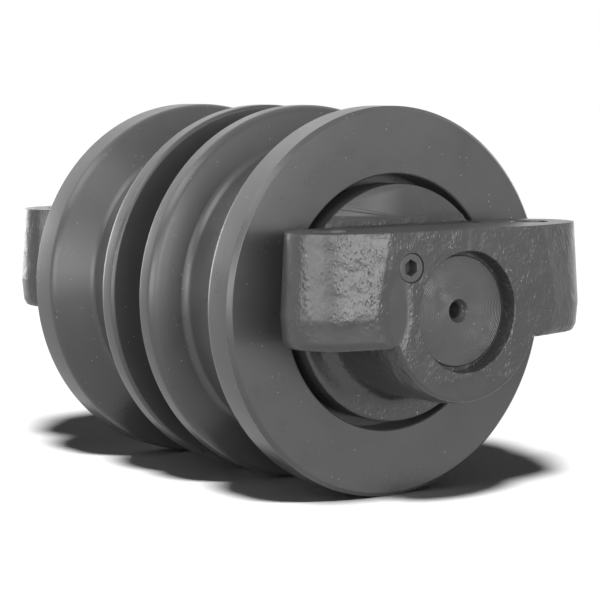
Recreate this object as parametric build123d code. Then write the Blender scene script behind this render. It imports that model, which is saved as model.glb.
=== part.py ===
# Double-flange track roller of a crawler excavator, as a bench assembly.
# A welded roller shell turns on two flanged bushes round a fixed shaft. A cast collar on each
# end of the shaft carries two bolt holes and bolts up under the track frame.
#
# Frame: millimetres, origin at the middle of the shaft. +Y runs along the shaft, +Z points up
# to the track frame, and +X lies along the bolted bars. Every end piece is drawn for the far
# end (+Y) and turned half a turn about Z for the near end (-Y), as the real castings are.

import os
from math import cos, radians, sin, tan

from build123d import *

# Roller shell, outside: radii from the tread, widths along the shaft from the middle groove
tread_radius = 95.0
flange_height = 22.0            # outer flange above the tread
inner_flange_height = 22.0      # inner flange above the tread
groove_depth = 9.0              # middle groove below the tread
groove_width = 31.4             # whole width of the middle groove
inner_flange_width = 14.3       # width of the inner flange at its rim
rail_gap_width = 62.5           # clear width between the two rims of one half
flange_rim_width = 23.5
inner_flange_slope = 6.5        # run of the inner flange's tread side along the shaft
outer_flange_slope = 15.5       # run of the outer flange's tread side
tread_root_radius = 5.5         # hollow at both feet of the tread
outer_rim_edge_radius = 7.0     # soft shoulder from the outer flange's slope to its rim
inner_rim_edge_radius = 3.0     # inner flange, edge on the tread side
groove_edge_radius = 2.5        # inner flange, edge on the groove side
face_chamfer = 2.5              # chamfer between rim and face on the outer flange
groove_root_radius = 4.0

# Roller shell, inside
chamber_depth = 18.5            # oil chamber below the bush seats
chamber_corner_radius = 5.0
chamber_wall_slope = 8.0        # run of the chamber's end walls along the shaft
weld_half_width = 6.0
weld_crown = 1.5
counterbore_gap = 5.4           # open ring between the collar's disc and the shell
counterbore_chamfer = 0.8

# Shaft
shaft_end_radius = 32.5
journal_step = 5.0              # journal radius above the shaft end radius
waist_relief = 1.5              # how far the middle of the shaft is turned below the journal
waist_end_gap = 3.0             # journal left standing past each bush's inner end
shaft_end_chamfer = 1.0
centre_hole_radius = 4.5
centre_hole_depth = 16.0
centre_cone_radius = 6.9        # mouth of the 60 degree turning centre
centre_cone_angle = 30.0        # half angle of the turning centre

# Bushes
bush_running_gap = 0.06         # radial clearance on the journal
bush_wall = 6.0
bush_length = 50.0
bush_flange_height = 10.5
bush_flange_thickness = 5.0
bush_flange_sunk = 1.0          # thrust face below the shell's seal seat
end_float = 0.35                # play between thrust face and collar hub, each end
oil_groove_radius = 2.0
oil_groove_count = 3

# Face seal: two lapped steel rings, each pressed home by a rubber toric ring in a conical seat
hub_wall = 11.5                 # collar hub over the shaft
seal_ring_gap = 6.0             # oil space between the hub and the seal rings
seal_ring_wall = 4.5            # at the thin back end of a ring
seal_ring_length = 11.0
seal_ramp_rise = 2.0            # how much the ring's ramp climbs towards the lip
seal_ramp_start = 4.6           # where the ramp starts behind the sealing face
seal_lip_height = 4.5           # lip above the top of the ramp
seal_lip_thickness = 3.0
seal_face_film = 0.02           # oil film between the lapped faces
toric_height = 8.0              # squashed rubber between ramp and seat, across the ring
toric_front = 6.2               # where the rubber starts behind the sealing face
toric_width = 4.6
toric_corner_radius = 1.9
seat_draw = 2.0                 # how much a seat narrows from mouth to floor
seat_depth = 12.0
seat_mouth_gap = 4.5            # from the sealing face to the mouth of each seat

# Collar casting
seat_rim = 6.7                  # disc rim outside the seal seat
disc_proud = 5.0                # disc face outside the shell's end face
disc_web = 6.0                  # disc left behind the seal seat
disc_edge_radius = 1.5
boss_length = 66.0              # boss face in front of the disc face
boss_radius = 54.0
boss_base_radius = 8.0          # hollow where the boss runs into the disc
boss_lap = 1.0                  # how deep the boss is let into the disc
boss_nose_length = 15.0         # the boss narrows a little towards its face
boss_nose_drop = 1.5
boss_edge_length = 2.0          # fettled edge round the boss face
boss_edge_drop = 1.0
mouth_radius = 34.8             # as-cast recess round the shaft end
shaft_recess = 9.0              # shaft end below the boss face
shaft_proud = 2.0               # shaft end above the recess floor
mouth_chamfer = 0.8
seat_height = 47.5              # bolted face above the shaft
bar_drop = 18.0                 # underside of the bar below the shaft
bar_edge_radius = 5.0           # rounding round the bar's underside
bolt_spacing = 146.0            # across the bar
bolt_offset = 34.0              # bolt centres in front of the disc face
bolt_hole_radius = 11.0
lug_radius = 26.6               # round lug end at the bolted face
draft_angle = 3.0               # casting draft of the bar's sides above the shaft's level, degrees
under_draft_angle = 5.0         # and below it
front_flat_width = 112.0        # flat front of the bar, across the shaft
saddle_width = 100.0            # web between the bar and the disc
saddle_drop = 5.0
shaft_fit = 0.02                # radial clearance of pieces that are pushed into a bore
strip_width = 96.0              # as-cast strip left between the disc and the machined seat
strip_length = 24.0
strip_drop = 0.8

# Port plug, lock pin and shaft O-ring
port_offset = 4.9               # port centre outside the collar hub
port_angle = 34.0               # port centre above the shaft's level, degrees
port_radius = 8.5
port_drill_radius = 3.5
plug_length = 14.0
plug_sunk = 0.4
plug_edge_chamfer = 0.6
hex_size = 8.0                  # across the flats
hex_depth = 7.0
lock_pin_radius = 6.0
lock_pin_bite = 7.5             # how far the pin cuts into the shaft
lock_pin_offset = 29.0          # pin centre in front of the disc face
lock_pin_rise = 28.0            # top of the pin above the shaft
lock_pin_length = 56.0
lock_pin_chamfer = 1.0
oring_offset = 12.0             # O-ring behind the hub's end
oring_groove_width = 3.4
oring_groove_depth = 2.2
oring_side_gap = 0.2
oring_roundness = 0.45          # corner radius as a share of the rubber's height

# Stack across the shaft, from the inside out
journal_radius = shaft_end_radius + journal_step
bush_radius = journal_radius + bush_wall
bush_flange_radius = bush_radius + bush_flange_height
hub_radius = shaft_end_radius + hub_wall
ring_inner_radius = hub_radius + seal_ring_gap
ring_back_radius = ring_inner_radius + seal_ring_wall
ring_ramp_radius = ring_back_radius + seal_ramp_rise
ring_lip_radius = ring_ramp_radius + seal_lip_height
seat_mouth_radius = ring_ramp_radius + toric_height
seat_floor_radius = seat_mouth_radius - seat_draw
disc_radius = seat_mouth_radius + seat_rim
counterbore_radius = disc_radius + counterbore_gap
flange_radius = tread_radius + flange_height
inner_flange_radius = tread_radius + inner_flange_height
groove_floor_radius = tread_radius - groove_depth
chamber_radius = bush_radius + chamber_depth
weld_root_radius = (chamber_radius + groove_floor_radius) / 2

# Stack along the shaft, from the middle outwards
groove_edge = groove_width / 2
inner_flange_edge = groove_edge + inner_flange_width
outer_flange_edge = inner_flange_edge + rail_gap_width
shell_end = outer_flange_edge + flange_rim_width
disc_face = shell_end + disc_proud
collar_seat_floor = disc_face - disc_web
disc_back = collar_seat_floor - seat_depth
sealing_face = disc_back - seat_mouth_gap
counterbore_floor = sealing_face - seat_mouth_gap
shell_seat_floor = counterbore_floor - seat_depth
thrust_face = shell_seat_floor - bush_flange_sunk
bush_shoulder = thrust_face - bush_flange_thickness
bush_inner_end = bush_shoulder - bush_length
hub_end = thrust_face + end_float
chamber_edge = bush_inner_end - waist_end_gap
boss_face = disc_face + boss_length
shaft_end = boss_face - shaft_recess
mouth_floor = shaft_end - shaft_proud
bolt_row = disc_face + bolt_offset
lock_pin_row = disc_face + lock_pin_offset
oring_row = hub_end + oring_offset

# Places across the bar
bolt_x = bolt_spacing / 2
draft_growth = seat_height * tan(radians(draft_angle))
port_circle = hub_radius + port_offset
port_x = port_circle * cos(radians(port_angle))
port_z = port_circle * sin(radians(port_angle))
lock_pin_x = -(shaft_end_radius - lock_pin_bite + lock_pin_radius)


def turned(corners):
    """Solid turned about the shaft from corners of (radius, place along Y, corner radius)."""
    points = [(corner[0], corner[1]) for corner in corners]
    radii = [corner[2] if len(corner) > 2 else 0 for corner in corners]
    outline = FilletPolyline(*points, radius=radii, close=True)
    return revolve(make_face(outline), Axis.Y)


def along_shaft(x, z, start, end, radius):
    """Cylinder parallel to the shaft, from one place along Y to another."""
    plane = Plane(origin=(x, start, z), z_dir=(0, 1, 0))
    return extrude(plane * Circle(radius), end - start)


def upright(x, y, bottom, top, radius):
    """Vertical cylinder."""
    return extrude(Plane.XY.offset(bottom) * Pos(x, y) * Circle(radius), top - bottom)


def block(x_low, x_high, y_low, y_high, z_low, z_high):
    """Plain box between two corners."""
    middle = Pos((x_low + x_high) / 2, (y_low + y_high) / 2, (z_low + z_high) / 2)
    return middle * Box(x_high - x_low, y_high - y_low, z_high - z_low)


def shell_half():
    """Half of the roller: tread, two flanges, bush seat, seal seat and half the oil chamber."""
    return turned([
        (chamber_radius, 0),
        (weld_root_radius, 0),
        (groove_floor_radius, weld_half_width),
        (groove_floor_radius, groove_edge, groove_root_radius),
        (inner_flange_radius, groove_edge, groove_edge_radius),
        (inner_flange_radius, inner_flange_edge, inner_rim_edge_radius),
        (tread_radius, inner_flange_edge + inner_flange_slope, tread_root_radius),
        (tread_radius, outer_flange_edge - outer_flange_slope, tread_root_radius),
        (flange_radius, outer_flange_edge, outer_rim_edge_radius),
        (flange_radius, shell_end - face_chamfer),
        (flange_radius - face_chamfer, shell_end),
        (counterbore_radius + counterbore_chamfer, shell_end),
        (counterbore_radius, shell_end - counterbore_chamfer),
        (counterbore_radius, counterbore_floor),
        (seat_mouth_radius, counterbore_floor),
        (seat_floor_radius, shell_seat_floor),
        (bush_flange_radius, shell_seat_floor),
        (bush_flange_radius, bush_shoulder),
        (bush_radius, bush_shoulder),
        (bush_radius, chamber_edge),
        (chamber_radius, chamber_edge - chamber_wall_slope, chamber_corner_radius),
    ])


def weld_seam():
    """Closing weld that fills the vee between the two shell halves in the middle groove."""
    left = (groove_floor_radius, -weld_half_width)
    right = (groove_floor_radius, weld_half_width)
    crown = ThreePointArc(left, (groove_floor_radius + weld_crown, 0), right)
    vee = Polyline(right, (weld_root_radius, 0), left)
    return revolve(make_face([crown, vee]), Axis.Y)


def bush():
    """Flanged bronze bush with oil grooves down its bore and across its thrust face."""
    inner = journal_radius + bush_running_gap
    body = turned([
        (inner, bush_inner_end),
        (bush_radius - shaft_fit, bush_inner_end),
        (bush_radius - shaft_fit, bush_shoulder),
        (bush_flange_radius - shaft_fit, bush_shoulder),
        (bush_flange_radius - shaft_fit, thrust_face),
        (inner, thrust_face),
    ])
    bore_groove = along_shaft(inner, 0, bush_inner_end, thrust_face, oil_groove_radius)
    face_plane = Plane(origin=(inner, thrust_face, 0), z_dir=(1, 0, 0))
    face_groove = extrude(face_plane * Circle(oil_groove_radius), bush_flange_radius - inner)
    for index in range(oil_groove_count):
        turn = Rot(0, 360 / oil_groove_count * index, 0)
        body -= turn * (bore_groove + face_groove)
    return body


def shaft():
    """Fixed shaft: journals for the bushes, relieved waist, stepped ends with turning centres."""
    waist_radius = journal_radius - waist_relief
    corners = [
        (0, -shaft_end),
        (shaft_end_radius - shaft_end_chamfer, -shaft_end),
        (shaft_end_radius, -shaft_end + shaft_end_chamfer),
        (shaft_end_radius, -hub_end),
        (journal_radius, -hub_end),
        (journal_radius, -chamber_edge),
        (waist_radius, -chamber_edge + waist_relief),
        (waist_radius, chamber_edge - waist_relief),
        (journal_radius, chamber_edge),
        (journal_radius, hub_end),
        (shaft_end_radius, hub_end),
        (shaft_end_radius, shaft_end - shaft_end_chamfer),
        (shaft_end_radius - shaft_end_chamfer, shaft_end),
        (0, shaft_end),
    ]
    body = turned(corners)
    cone_length = (centre_cone_radius - centre_hole_radius) / tan(radians(centre_cone_angle))
    centre = turned([
        (0, shaft_end),
        (centre_cone_radius, shaft_end),
        (centre_hole_radius, shaft_end - cone_length),
        (centre_hole_radius, shaft_end - centre_hole_depth),
        (0, shaft_end - centre_hole_depth - centre_hole_radius * tan(radians(centre_cone_angle))),
    ])
    groove = turned([
        (shaft_end_radius - oring_groove_depth, oring_row - oring_groove_width / 2),
        (shaft_end_radius + oring_groove_depth, oring_row - oring_groove_width / 2),
        (shaft_end_radius + oring_groove_depth, oring_row + oring_groove_width / 2),
        (shaft_end_radius - oring_groove_depth, oring_row + oring_groove_width / 2),
    ])
    end_cuts = centre + groove + lock_pin_hole()
    return body - end_cuts - at_near_end(end_cuts)


def lock_pin_hole():
    """Blind hole for the lock pin, drilled up from under the collar through the shaft's side."""
    radius = lock_pin_radius + shaft_fit
    return upright(lock_pin_x, lock_pin_row, -boss_radius, lock_pin_rise, radius)


def lock_pin():
    """Pin that stops the shaft from turning or sliding in its collar."""
    pin = upright(lock_pin_x, lock_pin_row, lock_pin_rise - lock_pin_length, lock_pin_rise,
                  lock_pin_radius)
    return chamfer(pin.edges().filter_by(GeomType.CIRCLE), lock_pin_chamfer)


def shaft_oring():
    """O-ring that closes the fit of the shaft in the collar, squashed in its groove."""
    inner = shaft_end_radius - oring_groove_depth
    outer = shaft_end_radius + shaft_fit
    start = oring_row - oring_groove_width / 2 + oring_side_gap
    end = oring_row + oring_groove_width / 2 - oring_side_gap
    corner = (outer - inner) * oring_roundness
    return turned([
        (inner, start, corner),
        (outer, start, corner),
        (outer, end, corner),
        (inner, end, corner),
    ])


def seal_ring(side):
    """Lapped steel ring. Side +1 is held in the collar, side -1 turns with the shell."""
    face = sealing_face + side * seal_face_film / 2
    return turned([
        (ring_inner_radius, face),
        (ring_lip_radius, face),
        (ring_lip_radius, sealing_face + side * seal_lip_thickness),
        (ring_ramp_radius, sealing_face + side * seal_ramp_start),
        (ring_back_radius, sealing_face + side * seal_ring_length),
        (ring_inner_radius, sealing_face + side * seal_ring_length),
    ])


def ramp_radius(depth):
    """Radius of a seal ring's ramp at a depth behind the sealing face."""
    share = (depth - seal_ramp_start) / (seal_ring_length - seal_ramp_start)
    return ring_ramp_radius - seal_ramp_rise * share


def seat_radius(depth):
    """Radius of a seal seat's wall at a depth behind the sealing face."""
    return seat_mouth_radius - seat_draw * (depth - seat_mouth_gap) / seat_depth


def toric(side):
    """Rubber toric ring, squashed between a seal ring's ramp and the wall of its seat."""
    front = toric_front
    back = toric_front + toric_width
    return turned([
        (ramp_radius(front), sealing_face + side * front, toric_corner_radius),
        (seat_radius(front), sealing_face + side * front, toric_corner_radius),
        (seat_radius(back), sealing_face + side * back, toric_corner_radius),
        (ramp_radius(back), sealing_face + side * back, toric_corner_radius),
    ])


def bar():
    """Bolted bar: round lugs joined by a milled front, drafted up and down from the shaft's level."""
    grown = lug_radius + draft_growth
    lug = Circle(grown)
    front = boss_face + draft_growth
    rear = bolt_row - grown
    core = Pos(0, (front + rear) / 2) * Rectangle(front_flat_width, front - rear)
    lugs = [Pos(side * bolt_x, bolt_row) * lug for side in (-1, 1)]
    outline = make_hull(core.edges() + lugs[0].edges() + lugs[1].edges())
    upper = extrude(outline, seat_height, taper=draft_angle)
    lower = extrude(outline, -bar_drop, taper=under_draft_angle)
    casting = upper + lower
    under_edges = casting.faces().sort_by(Axis.Z)[0].edges()
    casting = fillet(under_edges, bar_edge_radius)
    reach = bolt_x + grown
    return casting & block(-reach, reach, disc_face, boss_face, -bar_drop, seat_height)


def collar():
    """Cast collar: seal disc and hub, boss over the shaft end, and the bolted bar across it."""
    disc = turned([
        (shaft_end_radius + shaft_fit, hub_end),
        (hub_radius, hub_end),
        (hub_radius, collar_seat_floor),
        (seat_floor_radius, collar_seat_floor),
        (seat_mouth_radius, disc_back),
        (disc_radius, disc_back),
        (disc_radius, disc_face, disc_edge_radius),
        (shaft_end_radius + shaft_fit, disc_face),
    ])
    boss = turned([
        (0, disc_face - boss_lap),
        (disc_radius - disc_edge_radius, disc_face - boss_lap),
        (disc_radius - disc_edge_radius, disc_face),
        (boss_radius, disc_face, boss_base_radius),
        (boss_radius, boss_face - boss_nose_length),
        (boss_radius - boss_nose_drop, boss_face - boss_edge_length),
        (boss_radius - boss_nose_drop - boss_edge_drop, boss_face),
        (0, boss_face),
    ])
    half_saddle = saddle_width / 2
    saddle = block(-half_saddle, half_saddle, disc_face, bolt_row, -saddle_drop, seat_height)
    above = block(-disc_radius, disc_radius, disc_face, boss_face, seat_height, disc_radius)
    body = disc + ((boss + bar() + saddle) - above)

    mouth = turned([
        (0, mouth_floor),
        (mouth_radius, mouth_floor),
        (mouth_radius, boss_face - mouth_chamfer),
        (mouth_radius + mouth_chamfer, boss_face),
        (0, boss_face),
    ])
    bore = along_shaft(0, 0, hub_end, boss_face, shaft_end_radius + shaft_fit)
    port = along_shaft(port_x, port_z, boss_face - plug_length - plug_sunk, boss_face,
                       port_radius + shaft_fit)
    drilling = along_shaft(port_x, port_z, collar_seat_floor, boss_face, port_drill_radius)
    body -= mouth + bore + port + drilling + lock_pin_hole()
    for side in (-1, 1):
        body -= upright(side * bolt_x, bolt_row, -bar_drop, seat_height, bolt_hole_radius)
    half_strip = strip_width / 2
    body -= block(-half_strip, half_strip, disc_face, disc_face + strip_length,
                  seat_height - strip_drop, seat_height)
    return body


def port_plug():
    """Hexagon-socket plug in the oil port of the collar."""
    face = boss_face - plug_sunk
    plug = along_shaft(port_x, port_z, face - plug_length, face, port_radius)
    plug = chamfer(plug.edges().filter_by(GeomType.CIRCLE), plug_edge_chamfer)
    socket_plane = Plane(origin=(port_x, face, port_z), x_dir=(0, 0, 1), z_dir=(0, 1, 0))
    socket = socket_plane * RegularPolygon(hex_size / 2, 6, major_radius=False)
    return plug - extrude(socket, -hex_depth)


def at_near_end(piece):
    """The same piece at the other end of the shaft, half a turn about the upright axis."""
    return Rot(0, 0, 180) * piece


def build():
    """Every piece by its node name."""
    pieces = {"shaft": shaft(), "weld_seam": weld_seam()}
    end_pieces = {
        "shell_half": shell_half(),
        "bush": bush(),
        "collar": collar(),
        "fixed_seal_ring": seal_ring(1),
        "turning_seal_ring": seal_ring(-1),
        "fixed_toric": toric(1),
        "turning_toric": toric(-1),
        "shaft_oring": shaft_oring(),
        "lock_pin": lock_pin(),
        "port_plug": port_plug(),
    }
    for name, piece in end_pieces.items():
        pieces["far_" + name] = piece
        pieces["near_" + name] = at_near_end(piece)
    return pieces


os.makedirs("parts", exist_ok=True)
for node, piece in build().items():
    export_step(piece, f"parts/{node}.step")
    size = piece.bounding_box().size
    print(f"{node}: {piece.volume / 1000:.1f} cm3, {size.X:.1f} x {size.Y:.1f} x {size.Z:.1f} mm")
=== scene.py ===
import math

import bmesh
import bpy
import numpy as np
from mathutils import Matrix, Vector, noise


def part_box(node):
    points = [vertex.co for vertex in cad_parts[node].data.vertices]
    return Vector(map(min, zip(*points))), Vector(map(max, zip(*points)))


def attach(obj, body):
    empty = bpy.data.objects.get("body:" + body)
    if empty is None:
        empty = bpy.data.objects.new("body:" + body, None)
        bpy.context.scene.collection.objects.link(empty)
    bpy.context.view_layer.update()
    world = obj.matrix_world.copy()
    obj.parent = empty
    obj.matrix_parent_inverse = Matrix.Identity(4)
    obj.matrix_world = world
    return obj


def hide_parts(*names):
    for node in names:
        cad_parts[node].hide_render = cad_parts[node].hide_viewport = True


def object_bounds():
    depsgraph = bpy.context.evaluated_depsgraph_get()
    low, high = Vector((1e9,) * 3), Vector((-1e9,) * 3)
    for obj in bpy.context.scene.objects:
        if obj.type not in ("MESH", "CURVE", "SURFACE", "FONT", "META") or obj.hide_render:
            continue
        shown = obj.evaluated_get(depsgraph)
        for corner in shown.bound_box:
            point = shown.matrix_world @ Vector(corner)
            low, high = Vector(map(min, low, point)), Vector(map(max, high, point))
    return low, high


# Double-flange track roller on a pale studio floor. Metres, with the shaft along Y and its near
# end at -Y. A depth is a place along the shaft, counted towards the near end.

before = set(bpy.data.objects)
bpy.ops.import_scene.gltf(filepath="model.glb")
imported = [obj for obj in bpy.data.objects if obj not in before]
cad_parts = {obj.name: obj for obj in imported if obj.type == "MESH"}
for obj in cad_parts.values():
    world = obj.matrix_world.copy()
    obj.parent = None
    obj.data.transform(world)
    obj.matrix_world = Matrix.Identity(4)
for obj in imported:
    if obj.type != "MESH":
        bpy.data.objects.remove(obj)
cadLow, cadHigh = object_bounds()
scene = bpy.context.scene
mm = 0.001

fixedBody = "shaft_and_collars"
turningBody = "roller"


def stageNote(text):
    print("scene:", text)


# Camera

cameraSet = {
    "lens": 132.29,
    "sensor": 36.0,
    "place": (-0.7928, -1.15893, 0.13076),
    "heading": -34.815,     # degrees about the upright axis, 0 looks along +Y
    "tilt": -5.627,         # degrees above the horizon
    "roll": -0.3,
    "near": 0.05,
    "far": 50.0,
}


def makeCamera(s):
    data = bpy.data.cameras.new("camera")
    data.lens = s["lens"]
    data.sensor_width = s["sensor"]
    data.clip_start = s["near"]
    data.clip_end = s["far"]
    camera = bpy.data.objects.new("camera", data)
    scene.collection.objects.link(camera)
    turn = Matrix.Rotation(math.radians(s["heading"]), 3, "Z")
    tilt = Matrix.Rotation(math.radians(90 + s["tilt"]), 3, "X")
    roll = Matrix.Rotation(math.radians(s["roll"]), 3, "Z")
    camera.matrix_world = Matrix.Translation(s["place"]) @ (turn @ tilt @ roll).to_4x4()
    scene.camera = camera


# Studio: a white tent, softboxes all round, and a lamp for the paper alone

studio = {
    "floorSize": 16.0,
    "floorSeen": 0.8,        # the paper's grey to the camera and in reflections
    "floorBounce": 0.05,     # and for the light that it throws back up
    "fill": 0.05,            # what the room gives between the lamps
    "paperLight": 5.2,
    "paperAzimuth": -124,
    "paperLean": 38,         # degrees off upright, so that the shadow falls away from the camera
    "paperBlur": 10,         # degrees across, for a soft shadow
}

# azimuth from +X seen from above, elevation, width and height in degrees as the roller sees them;
# a glow of 1 shows white
lampDistance = 2.0
lamps = {
    "frontBox": {"azimuth": -90, "elevation": 5, "span": (45, 22), "glow": 7.8},
    "frontUpper": {"azimuth": -80, "elevation": 25, "span": (60, 20), "glow": 1.0},
    "leftCorner": {"azimuth": -127, "elevation": 10, "span": (30, 30), "glow": 2.6},
    "leftBox": {"azimuth": -165, "elevation": 5, "span": (50, 22), "glow": 5.5},
    "leftTop": {"azimuth": -170, "elevation": 52, "span": (60, 28), "glow": 3.6},
    "backWall": {"azimuth": 115, "elevation": 22, "span": (50, 24), "glow": 0.6},
    "backTop": {"azimuth": 110, "elevation": 50, "span": (80, 30), "glow": 0.9},
    "farBox": {"azimuth": 90, "elevation": 6, "span": (45, 18), "glow": 4.5},
    "rightBox": {"azimuth": 12, "elevation": 8, "span": (50, 22), "glow": 1.0},
}
allButFloor = bpy.data.collections.new("allButFloor")
onlyFloor = bpy.data.collections.new("onlyFloor")


def outward(azimuth, elevation):
    around, up = math.radians(azimuth), math.radians(elevation)
    return Vector((math.cos(up) * math.cos(around), math.cos(up) * math.sin(around), math.sin(up)))


# every lamp looks at the middle of the roller
def addLamp(name, data, azimuth, elevation, receivers):
    lamp = bpy.data.objects.new(name, data)
    scene.collection.objects.link(lamp)
    lamp.location = lampDistance * outward(azimuth, elevation)
    lamp.rotation_euler = (-lamp.location).to_track_quat("-Z", "Y").to_euler()
    lamp.visible_camera = False
    lamp.light_linking.receiver_collection = receivers


def makeSoftbox(name, s):
    data = bpy.data.lights.new(name, "AREA")
    data.shape = "RECTANGLE"
    data.size, data.size_y = (2 * lampDistance * math.tan(math.radians(angle) / 2) for angle in s["span"])
    data.energy = math.pi * data.size * data.size_y * s["glow"]
    addLamp(name, data, s["azimuth"], s["elevation"], allButFloor)


def makePaperLamp(s):
    data = bpy.data.lights.new("paperLamp", "SUN")
    data.energy = s["paperLight"]
    data.angle = math.radians(s["paperBlur"])
    addLamp("paperLamp", data, s["paperAzimuth"], 90 - s["paperLean"], onlyFloor)


# 1 for rays that see the studio, from the camera, in a reflection or through glass
def seenRays(nodes, links):
    rays = nodes.new("ShaderNodeLightPath")
    seen = rays.outputs["Is Camera Ray"]
    for kind in ("Is Glossy Ray", "Is Transmission Ray"):
        either = nodes.new("ShaderNodeMath")
        either.operation = "MAXIMUM"
        links.new(seen, either.inputs[0])
        links.new(rays.outputs[kind], either.inputs[1])
        seen = either.outputs["Value"]
    return seen


def makeFloor(s):
    half = s["floorSize"] / 2
    level = cadLow.z
    mesh = bpy.data.meshes.new("floor")
    signs = ((-1, -1), (1, -1), (1, 1), (-1, 1))
    mesh.from_pydata([(x * half, y * half, level) for x, y in signs], [], [(0, 1, 2, 3)])
    floor = bpy.data.objects.new("floor", mesh)
    scene.collection.objects.link(floor)
    for receivers, state in ((allButFloor, "EXCLUDE"), (onlyFloor, "INCLUDE")):
        receivers.objects.link(floor)
        receivers.collection_objects[0].light_linking.link_state = state

    paper = bpy.data.materials.new("paper")
    paper.use_nodes = True
    nodes = paper.node_tree.nodes
    links = paper.node_tree.links
    nodes.clear()
    out = nodes.new("ShaderNodeOutputMaterial")
    bounced = nodes.new("ShaderNodeBsdfDiffuse")
    bounced.inputs["Color"].default_value = (s["floorBounce"],) * 3 + (1,)
    seen = nodes.new("ShaderNodeBsdfDiffuse")
    seen.inputs["Color"].default_value = (s["floorSeen"],) * 3 + (1,)
    mix = nodes.new("ShaderNodeMixShader")
    links.new(seenRays(nodes, links), mix.inputs["Fac"])
    links.new(bounced.outputs["BSDF"], mix.inputs[1])
    links.new(seen.outputs["BSDF"], mix.inputs[2])
    links.new(mix.outputs["Shader"], out.inputs["Surface"])
    floor.data.materials.append(paper)


# white to the camera and in reflections, and a low fill for the rest
def makeRoom(s):
    world = bpy.data.worlds.new("room")
    scene.world = world
    world.use_nodes = True
    nodes = world.node_tree.nodes
    links = world.node_tree.links
    nodes.clear()
    out = nodes.new("ShaderNodeOutputWorld")
    fill = nodes.new("ShaderNodeBackground")
    fill.inputs["Strength"].default_value = s["fill"]
    white = nodes.new("ShaderNodeBackground")
    white.inputs["Strength"].default_value = 1.0
    for shade in (fill, white):
        shade.inputs["Color"].default_value = (1, 1, 1, 1)
    mix = nodes.new("ShaderNodeMixShader")
    links.new(seenRays(nodes, links), mix.inputs["Fac"])
    links.new(fill.outputs["Background"], mix.inputs[1])
    links.new(white.outputs["Background"], mix.inputs[2])
    links.new(mix.outputs["Shader"], out.inputs["Surface"])


scene.view_settings.view_transform = "Standard"
makeCamera(cameraSet)
makeFloor(studio)
makeRoom(studio)
makePaperLamp(studio)
for lampName, lampSet in lamps.items():
    makeSoftbox(lampName, lampSet)
stageNote("camera and studio ready")


# Finishes: small node helpers first

def newFinish(name, metallic=0.0):
    material = bpy.data.materials.new(name)
    material.use_nodes = True
    tree = material.node_tree
    shader = tree.nodes["Principled BSDF"]
    shader.inputs["Metallic"].default_value = metallic
    place = tree.nodes.new("ShaderNodeTexCoord").outputs["Object"]
    return material, tree, shader, place


def stretched(tree, place, scale):
    mapping = tree.nodes.new("ShaderNodeMapping")
    mapping.inputs["Scale"].default_value = scale
    tree.links.new(place, mapping.inputs["Vector"])
    return mapping.outputs["Vector"]


# distance from the shaft's axis and place along it, so that a texture runs in rings
def aroundShaft(tree, place):
    parts = tree.nodes.new("ShaderNodeSeparateXYZ")
    tree.links.new(place, parts.inputs["Vector"])
    flat = tree.nodes.new("ShaderNodeCombineXYZ")
    tree.links.new(parts.outputs["X"], flat.inputs["X"])
    tree.links.new(parts.outputs["Z"], flat.inputs["Y"])
    radius = tree.nodes.new("ShaderNodeVectorMath")
    radius.operation = "LENGTH"
    tree.links.new(flat.outputs["Vector"], radius.inputs[0])
    ring = tree.nodes.new("ShaderNodeCombineXYZ")
    tree.links.new(radius.outputs["Value"], ring.inputs["X"])
    tree.links.new(parts.outputs["Y"], ring.inputs["Y"])
    return ring.outputs["Vector"]


def grain(tree, place, perMetre, detail=3.0):
    texture = tree.nodes.new("ShaderNodeTexNoise")
    texture.inputs["Scale"].default_value = perMetre
    texture.inputs["Detail"].default_value = detail
    tree.links.new(place, texture.inputs["Vector"])
    return texture.outputs["Fac"]


# distance to the nearest of scattered points, as a share of their spacing
def cells(tree, place, perMetre):
    texture = tree.nodes.new("ShaderNodeTexVoronoi")
    texture.inputs["Scale"].default_value = perMetre
    tree.links.new(place, texture.inputs["Vector"])
    return texture.outputs["Distance"]


# grey or coloured stops between two places of a source
def shaded(tree, source, low, high, start=0.3, end=0.7):
    node = tree.nodes.new("ShaderNodeValToRGB")
    for step, place, tone in zip(node.color_ramp.elements, (start, end), (low, high)):
        step.position = place
        step.color = (*tone, 1) if isinstance(tone, tuple) else (tone, tone, tone, 1)
    tree.links.new(source, node.inputs["Fac"])
    return node.outputs["Color"]


def combined(tree, operation, first, second):
    node = tree.nodes.new("ShaderNodeMath")
    node.operation = operation
    tree.links.new(first, node.inputs[0])
    tree.links.new(second, node.inputs[1])
    return node.outputs["Value"]


# a source with a grey laid over it where share is 1
def dusted(tree, share, source, grey):
    node = tree.nodes.new("ShaderNodeMix")
    node.data_type = "RGBA"
    node.inputs["B"].default_value = (grey, grey, grey, 1)
    tree.links.new(share, node.inputs["Factor"])
    tree.links.new(source, node.inputs["A"])
    return node.outputs["Result"]


# each height is a source, a strength and a depth in metres
def bumped(tree, shader, heights):
    last = None
    for source, strength, depth in heights:
        bump = tree.nodes.new("ShaderNodeBump")
        bump.inputs["Strength"].default_value = strength
        bump.inputs["Distance"].default_value = depth
        tree.links.new(source, bump.inputs["Height"])
        if last:
            tree.links.new(last, bump.inputs["Normal"])
        last = bump.outputs["Normal"]
    tree.links.new(last, shader.inputs["Normal"])


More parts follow.
